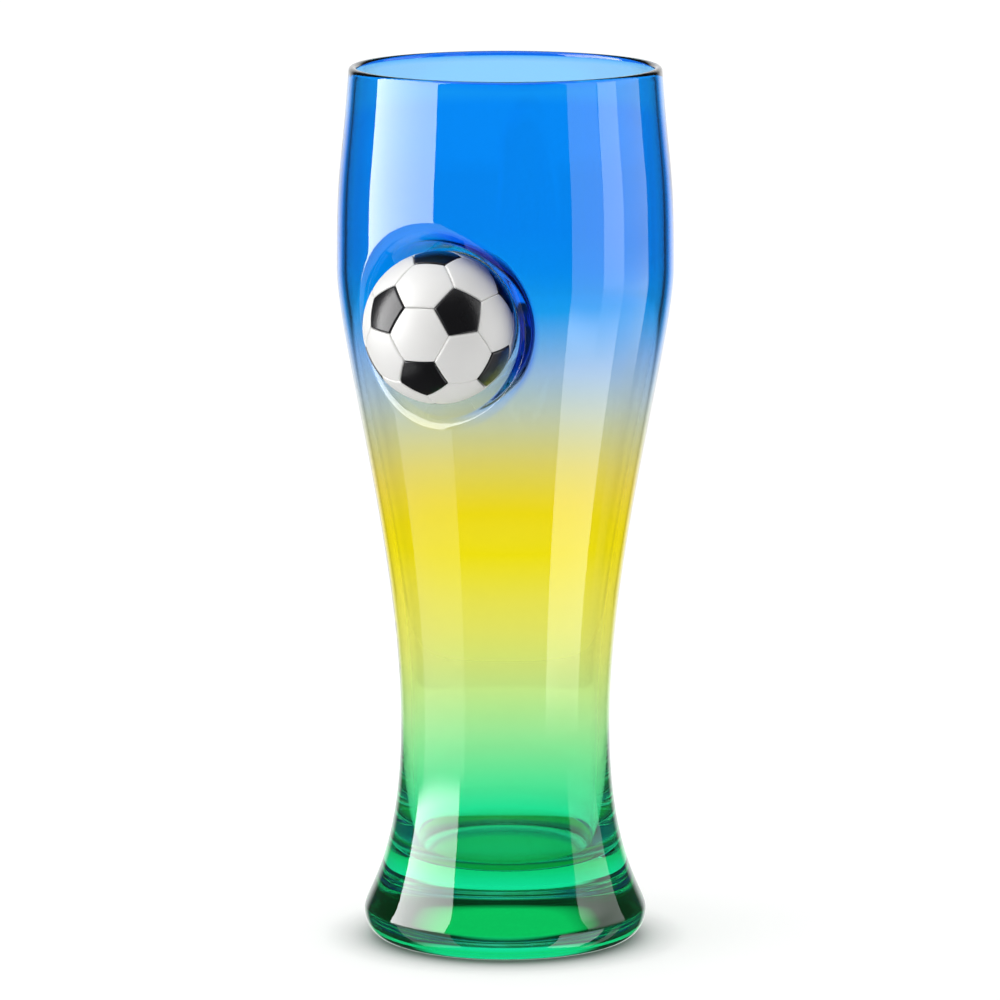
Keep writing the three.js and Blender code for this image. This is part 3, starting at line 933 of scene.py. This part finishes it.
def floor_material():
    """Pale matt floor with a faint unevenness, a painted contact shadow close to the glass and a painted
    green glow under the foot.
    """
    material, nodes, links = new_material("pale_floor")
    shader = nodes["Principled BSDF"]
    shader.inputs["Roughness"].default_value = 0.9
    shader.inputs["Specular IOR Level"].default_value = 0.1
    place = nodes.new("ShaderNodeTexCoord").outputs["Object"]
    noise = nodes.new("ShaderNodeTexNoise")
    noise.inputs["Scale"].default_value = 6
    tone = colour_mix(nodes)
    tone.inputs["A"].default_value = (0.93, 0.93, 0.93, 1)
    tone.inputs["B"].default_value = (0.95, 0.95, 0.95, 1)
    # Painted shadow: the floor's colour darkens by ambient occlusion close to the glass.
    painted_contact_shadow = nodes.new("ShaderNodeAmbientOcclusion")
    painted_contact_shadow.inputs["Distance"].default_value = 12 * MM
    shade = colour_mix(nodes)
    shade.inputs["A"].default_value = (0.2, 0.2, 0.2, 1)
    # Painted light: the floor glows green under the foot, standing in for the light that the foot gathers
    # there.
    from_axis = vector_node(nodes, "LENGTH")
    painted_glow = colour_mix(nodes)
    painted_glow.inputs["B"].default_value = (0.1, 0.32, 0.06, 1)
    links.new(place, noise.inputs["Vector"])
    links.new(place, from_axis.inputs[0])
    distance = from_axis.outputs["Value"]
    strength = fade_node(material.node_tree, distance, UNDER_FOOT, (1, 0.18))
    painted_glow_mask = fade_node(material.node_tree, distance, UNDER_FOOT, (1, 0))
    links.new(noise.outputs["Fac"], tone.inputs["Factor"])
    links.new(painted_contact_shadow.outputs["AO"], shade.inputs["Factor"])
    links.new(tone.outputs["Result"], shade.inputs["B"])
    links.new(painted_glow_mask, painted_glow.inputs["Factor"])
    links.new(shade.outputs["Result"], painted_glow.inputs["A"])
    links.new(shade.outputs["Result"], shader.inputs["Base Color"])
    links.new(painted_glow.outputs["Result"], shader.inputs["Emission Color"])
    links.new(strength, shader.inputs["Emission Strength"])
    return material


def studio_world(stage):
    """White for the camera. The glass sees a white backdrop and table, a pale ceiling and a dark room."""
    world = bpy.data.worlds.new("studio")
    bpy.context.scene.world = world
    world.use_nodes = True
    tree = world.node_tree
    nodes = tree.nodes
    links = tree.links
    shine = nodes["Background"]
    shine.inputs["Color"].default_value = (1, 1, 1, 1)
    place = nodes.new("ShaderNodeTexCoord")
    path = nodes.new("ShaderNodeLightPath")

    def zone(direction, closeness, brightness, elsewhere=stage.room):
        """Bright where the view lies close to a direction, fading over a range of closeness."""
        close = vector_node(nodes, "DOT_PRODUCT")
        close.inputs[1].default_value = direction
        links.new(place.outputs["Generated"], close.inputs[0])
        return fade_node(tree, close.outputs["Value"], closeness, (elsewhere, brightness), "LINEAR")

    def instead(ray, value, otherwise):
        """One value for one kind of ray, and another for the rest."""
        node = nodes.new("ShaderNodeMix")
        links.new(path.outputs[ray], node.inputs["Factor"])
        links.new(otherwise, node.inputs["A"])
        if isinstance(value, float):
            node.inputs["B"].default_value = value
        else:
            links.new(value, node.inputs["B"])
        return node.outputs["Result"]

    behind = (-math.sin(stage.camera_turn), math.cos(stage.camera_turn), 0)
    backdrop = zone(behind, (0.84, 0.93), BACKDROP)
    ceiling = zone((0, 0, 1), (0.72, 0.95), stage.ceiling)
    table = zone((0, 0, -1), (0.225, 0.245), BACKDROP)
    overhead = zone((0, 0, 1), (0, 1), stage.overhead, stage.room_light)
    mirrored = joined(tree, "MAXIMUM", backdrop, ceiling)
    seen = instead("Is Transmission Ray", joined(tree, "MAXIMUM", mirrored, table), mirrored)
    seen = instead("Is Camera Ray", stage.surround, seen)
    seen = instead("Is Diffuse Ray", overhead, seen)
    links.new(seen, shine.inputs["Strength"])


class GLASS_OT_set_stage(bpy.types.Operator):
    """Set the floor, the soft boxes, the white surround and the camera"""

    bl_idname = "footed_glass.set_stage"
    bl_label = "Set Stage"

    def execute(self, context):
        scene = context.scene
        stage = scene.stage_settings
        mesh = bmesh.new()
        bmesh.ops.create_circle(mesh, cap_ends=True, segments=FLOOR_STEPS, radius=stage.floor_radius)
        bmesh.ops.translate(mesh, vec=(0, 0, -FLOOR_GAP), verts=mesh.verts)
        data = bpy.data.meshes.new("floor")
        mesh.to_mesh(data)
        mesh.free()
        data.materials.append(floor_material())
        floor = bpy.data.objects.new("floor", data)
        scene.collection.objects.link(floor)
        floor.visible_glossy = False

        studio_world(stage)
        turn = stage.camera_turn
        for box in SOFT_BOXES:
            light = add_light(turn, *box)
            light.visible_diffuse = False
        for box in SIDE_PANELS:
            panel = add_light(turn, *box)
            panel.data.node_tree.nodes["Emission"].inputs["Color"].default_value = SIDE_PANEL_TONE
            panel.visible_diffuse = False
            panel.visible_glossy = False
            panel.visible_transmission = True
        key = add_light(turn, *KEY_LIGHT)
        key.visible_glossy = False
        key.data.use_shadow = False

        data = bpy.data.cameras.new("photo_camera")
        data.lens = stage.lens
        data.sensor_width = 36
        data.clip_end = 100
        camera = bpy.data.objects.new("photo_camera", data)
        scene.collection.objects.link(camera)
        right = Vector((math.cos(turn), math.sin(turn), 0))
        out = Vector((math.sin(turn), -math.cos(turn), 0))
        camera.location = out * stage.camera_distance - right * stage.camera_side
        camera.location.z = stage.camera_height
        camera.rotation_euler = (math.pi / 2 - stage.camera_pitch, 0, turn)
        scene.camera = camera
        scene.view_settings.view_transform = "Standard"
        scene.cycles.max_bounces = BOUNCES
        scene.cycles.transmission_bounces = BOUNCES
        scene.cycles.glossy_bounces = BOUNCES
        scene.cycles.caustics_reflective = False
        return {"FINISHED"}


OPERATORS = (
    GLASS_OT_make_body,
    GLASS_OT_make_adhesive,
    GLASS_OT_make_black_panels,
    GLASS_OT_make_white_panels,
    GLASS_OT_finish_core,
    GLASS_OT_set_stage,
)


class GLASS_PT_build(bpy.types.Panel):
    """Lists the steps that build the glass"""

    bl_idname = "GLASS_PT_build"
    bl_label = "Footed Glass"
    bl_space_type = "VIEW_3D"
    bl_region_type = "UI"
    bl_category = "Footed Glass"

    def draw(self, context):
        for operator in OPERATORS:
            self.layout.operator(operator.bl_idname)
        for group in PROPERTY_GROUPS:
            box = self.layout.box()
            owner = getattr(context.scene, group)
            for name in owner.__annotations__:
                box.prop(owner, name)


PROPERTY_GROUPS = {
    "glass_sizes": GlassSizes,
    "pocket_sizes": PocketSizes,
    "ball_sizes": BallSizes,
    "glass_tint": TintColours,
    "ball_colours": BallColours,
    "stage_settings": StageSettings,
}


def register():
    for name, group in PROPERTY_GROUPS.items():
        bpy.utils.register_class(group)
        setattr(bpy.types.Scene, name, PointerProperty(type=group))
    for operator in OPERATORS:
        bpy.utils.register_class(operator)
    bpy.utils.register_class(GLASS_PT_build)


def unregister():
    bpy.utils.unregister_class(GLASS_PT_build)
    for operator in reversed(OPERATORS):
        bpy.utils.unregister_class(operator)
    for name, group in PROPERTY_GROUPS.items():
        delattr(bpy.types.Scene, name)
        bpy.utils.unregister_class(group)


def main():
    register()
    bpy.ops.footed_glass.make_body()
    bpy.ops.footed_glass.make_adhesive()
    bpy.ops.footed_glass.make_black_panels()
    bpy.ops.footed_glass.make_white_panels()
    bpy.ops.footed_glass.finish_core()
    bpy.ops.footed_glass.set_stage()


if __name__ == "__main__":
    main()
